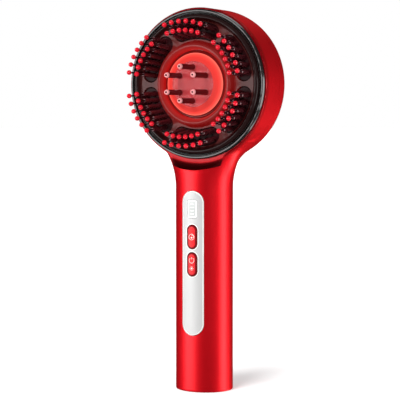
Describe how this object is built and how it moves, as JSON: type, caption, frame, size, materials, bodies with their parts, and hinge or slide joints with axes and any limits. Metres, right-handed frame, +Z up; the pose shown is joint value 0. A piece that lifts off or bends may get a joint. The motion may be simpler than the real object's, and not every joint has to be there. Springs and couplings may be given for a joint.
{
  "type": "handheld scalp massage brush",
  "caption": "Cordless scalp brush: round lit head with a ring of bead-tipped bristles around hollow serum nozzles, on a straight handle with two buttons and a small display.",
  "frame": {"origin": "centre of the handle's flat base, on the plane the brush stands on", "axes": "+Z up along the handle towards the head, -Y the way the bristles face, +X to the right seen from the front"},
  "size_m": [0.085, 0.0528, 0.214],
  "materials": {
    "red_shell": "satin metallic red lacquer over moulded plastic",
    "silver_panel": "satin silver-white lacquer",
    "display_window": "clear window over a lit level display",
    "red_button": "glossy red with a pale edge line",
    "black_gloss": "polished black",
    "smoky_plate": "smoky translucent dark red-brown",
    "bristle": "soft translucent black with red tips",
    "clear_red": "clear, lit red from behind",
    "halo": "frosted light pipe, glowing pink-red",
    "dark_plastic": "moulded dark grey",
    "rubber": "silicone rubber",
    "steel": "plated steel",
    "brass": "machined brass",
    "board": "green solder mask",
    "cell_wrap": "blue wrapped cell",
    "lead_wire": "red insulation"
  },
  "bodies": {
    "root": {"front_housing": "red_shell", "back_cover": "red_shell", "control_panel": "silver_panel", "display_window": "display_window", "bezel_ring": "black_gloss", "head_chassis": "black_gloss", "base_cap": "dark_plastic", "battery_cradle": "dark_plastic", "motor_bracket": "dark_plastic", "power_switch": "dark_plastic", "mode_switch": "dark_plastic", "display_module": "dark_plastic", "base_screw_1": "steel", "base_screw_2": "steel", "chassis_screw_1": "steel", "chassis_screw_2": "steel", "chassis_screw_3": "steel", "chassis_screw_4": "steel", "charge_socket": "steel", "motor_can": "steel", "main_board": "board", "charge_board": "board", "led_board": "board", "battery_cell": "cell_wrap", "battery_lead": "lead_wire", "motor_lead": "lead_wire", "led_lead": "lead_wire"},
    "comb_head": {"comb_plate": "smoky_plate", "comb_backplate": "dark_plastic", "comb_seal": "rubber", "bristle_pad_1": "bristle", "bristle_pad_2": "bristle", "bristle_pad_3": "bristle", "bristle_pad_4": "bristle", "bristle_pad_5": "bristle", "bristle_pad_6": "bristle", "serum_tank": "clear_red", "tank_seal": "rubber"},
    "nozzle_cap": {"nozzle_cap": "clear_red", "light_guide": "halo"},
    "rotor": {"motor_shaft": "steel", "eccentric_weight": "brass"},
    "power_button": {"power_button": "red_button", "power_plunger": "rubber"},
    "mode_button": {"mode_button": "red_button", "mode_plunger": "rubber"},
    "port_flap": {"port_flap": "rubber"}
  },
  "joints": [
    {"name": "comb_head_pull", "type": "slide", "parent": "root", "child": "comb_head", "axis": [0, -1, 0], "range_m": [0, 0.045]},
    {"name": "nozzle_cap_pull", "type": "slide", "parent": "comb_head", "child": "nozzle_cap", "axis": [0, -1, 0], "range_m": [0, 0.02]},
    {"name": "power_press", "type": "slide", "parent": "root", "child": "power_button", "axis": [0, 1, 0], "range_m": [0, 0.0005], "stiffness_N_per_m": 1200},
    {"name": "mode_press", "type": "slide", "parent": "root", "child": "mode_button", "axis": [0, 1, 0], "range_m": [0, 0.0005], "stiffness_N_per_m": 1200},
    {"name": "rotor_spin", "type": "hinge", "parent": "root", "child": "rotor", "pos_m": [0, 0.0035, 0.12], "axis": [0, 0, 1], "continuous": true},
    {"name": "port_flap_hinge", "type": "hinge", "parent": "root", "child": "port_flap", "pos_m": [0, 0.0149, 0.011], "axis": [-1, 0, 0], "range_deg": [0, 100]}
  ]
}
